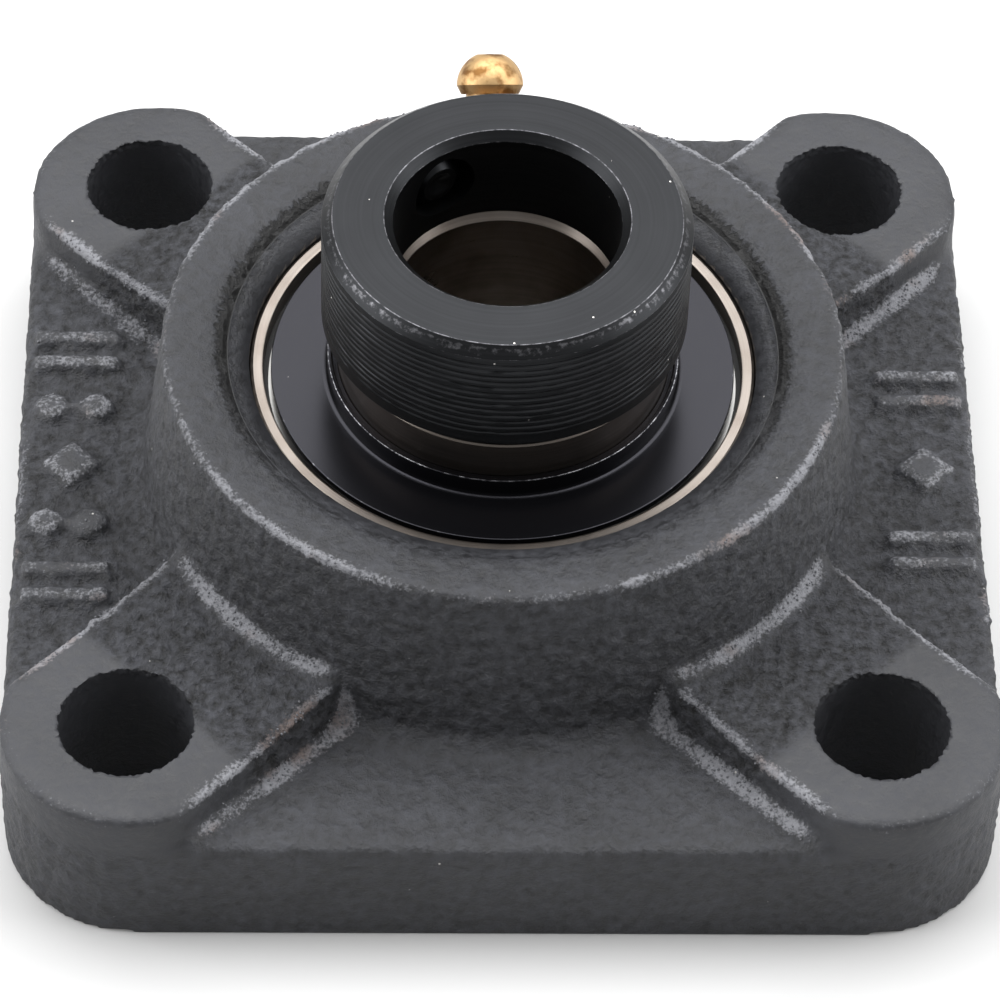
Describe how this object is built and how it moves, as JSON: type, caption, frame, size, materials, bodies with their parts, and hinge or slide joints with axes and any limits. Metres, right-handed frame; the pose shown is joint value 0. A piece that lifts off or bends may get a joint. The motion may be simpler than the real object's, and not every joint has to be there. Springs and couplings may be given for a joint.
{
  "type": "flange mount bearing",
  "caption": "Square cast flange housing with a self-aligning, sealed ball bearing insert, an eccentric locking collar with set screw and an angled grease fitting.",
  "frame": {"origin": "centre of the flange's back mounting face, on the shaft's axis", "axes": "+Z along the shaft towards the locking collar; +Y towards the grease fitting; X and Y along the flange's sides"},
  "size_m": [0.086, 0.086, 0.0436],
  "materials": {
    "housing_casting": "satin dark grey paint over sand-cast iron",
    "fitting_brass": "turned brass, satin",
    "bearing_steel": "ground bearing steel",
    "black_oxide_steel": "turned steel with black oxide",
    "slinger_steel": "pressed steel with a smooth black coat",
    "seal_rubber": "black nitrile rubber",
    "cage_steel": "pressed steel",
    "spring_steel": "drawn spring wire"
  },
  "bodies": {
    "housing": {"housing": "housing_casting", "grease_fitting_body": "fitting_brass", "grease_fitting_spring": "spring_steel"},
    "check_ball": {"grease_fitting_ball": "bearing_steel"},
    "align_pin": {"anti_rotation_pin": "bearing_steel"},
    "outer_ring": {"outer_ring": "bearing_steel", "front_seal_core": "cage_steel", "front_seal_lip": "seal_rubber", "back_seal_core": "cage_steel", "back_seal_lip": "seal_rubber"},
    "inner_ring": {"inner_ring": "bearing_steel", "front_slinger": "slinger_steel", "back_slinger": "slinger_steel"},
    "cage": {"cage_front_half": "cage_steel", "cage_back_half": "cage_steel", "cage_rivets": "cage_steel"},
    "locking_collar": {"locking_collar": "black_oxide_steel"},
    "set_screw": {"collar_set_screw": "black_oxide_steel"},
    "ball_1": {"ball_1": "bearing_steel"},
    "ball_2": {"ball_2": "bearing_steel"},
    "ball_3": {"ball_3": "bearing_steel"},
    "ball_4": {"ball_4": "bearing_steel"},
    "ball_5": {"ball_5": "bearing_steel"},
    "ball_6": {"ball_6": "bearing_steel"},
    "ball_7": {"ball_7": "bearing_steel"},
    "ball_8": {"ball_8": "bearing_steel"}
  },
  "joints": [
    {"name": "check_ball_slide", "type": "slide", "parent": "housing", "child": "check_ball", "axis": [0.0148, -0.707, -0.7071], "range_m": [0, 0.0008], "stiffness_N_per_m": 150, "springref_m": -0.0005, "deforming": ["grease_fitting_spring"]},
    {"name": "align_tilt", "type": "hinge", "parent": "housing", "child": "align_pin", "pos_m": [0, 0, 0.017], "axis": [1, 0, 0], "range_deg": [-2.5, 2.5]},
    {"name": "align_roll", "type": "hinge", "parent": "align_pin", "child": "outer_ring", "pos_m": [0, 0, 0.017], "axis": [0, -0.9832, -0.1827], "range_deg": [-2.5, 2.5]},
    {"name": "shaft_spin", "type": "hinge", "parent": "outer_ring", "child": "inner_ring", "pos_m": [0, 0, 0.017], "axis": [0, 0, 1], "continuous": true},
    {"name": "cage_spin", "type": "hinge", "parent": "outer_ring", "child": "cage", "pos_m": [0, 0, 0.017], "axis": [0, 0, 1], "continuous": true},
    {"name": "collar_lock", "type": "hinge", "parent": "inner_ring", "child": "locking_collar", "pos_m": [0, 0, 0.03902], "axis": [0, 0, 1], "range_deg": [-17, 17]},
    {"name": "set_screw_drive", "type": "slide", "parent": "locking_collar", "child": "set_screw", "axis": [-0.5592, 0.829, 0], "range_m": [-0.0005, 0.003]},
    {"name": "ball_1_spin", "type": "hinge", "parent": "cage", "child": "ball_1", "pos_m": [0.01675, 0, 0.017], "axis": [0, 0, 1], "continuous": true},
    {"name": "ball_2_spin", "type": "hinge", "parent": "cage", "child": "ball_2", "pos_m": [0.01184, 0.01184, 0.017], "axis": [0, 0, 1], "continuous": true},
    {"name": "ball_3_spin", "type": "hinge", "parent": "cage", "child": "ball_3", "pos_m": [0, 0.01675, 0.017], "axis": [0, 0, 1], "continuous": true},
    {"name": "ball_4_spin", "type": "hinge", "parent": "cage", "child": "ball_4", "pos_m": [-0.01184, 0.01184, 0.017], "axis": [0, 0, 1], "continuous": true},
    {"name": "ball_5_spin", "type": "hinge", "parent": "cage", "child": "ball_5", "pos_m": [-0.01675, 0, 0.017], "axis": [0, 0, 1], "continuous": true},
    {"name": "ball_6_spin", "type": "hinge", "parent": "cage", "child": "ball_6", "pos_m": [-0.01184, -0.01184, 0.017], "axis": [0, 0, 1], "continuous": true},
    {"name": "ball_7_spin", "type": "hinge", "parent": "cage", "child": "ball_7", "pos_m": [0, -0.01675, 0.017], "axis": [0, 0, 1], "continuous": true},
    {"name": "ball_8_spin", "type": "hinge", "parent": "cage", "child": "ball_8", "pos_m": [0.01184, -0.01184, 0.017], "axis": [0, 0, 1], "continuous": true}
  ],
  "couplings": [
    {"joint": "cage_spin", "follows": "shaft_spin", "ratio": 0.38152},
    {"joint": "ball_1_spin", "follows": "shaft_spin", "ratio": -1.9916},
    {"joint": "ball_2_spin", "follows": "shaft_spin", "ratio": -1.9916},
    {"joint": "ball_3_spin", "follows": "shaft_spin", "ratio": -1.9916},
    {"joint": "ball_4_spin", "follows": "shaft_spin", "ratio": -1.9916},
    {"joint": "ball_5_spin", "follows": "shaft_spin", "ratio": -1.9916},
    {"joint": "ball_6_spin", "follows": "shaft_spin", "ratio": -1.9916},
    {"joint": "ball_7_spin", "follows": "shaft_spin", "ratio": -1.9916},
    {"joint": "ball_8_spin", "follows": "shaft_spin", "ratio": -1.9916}
  ]
}
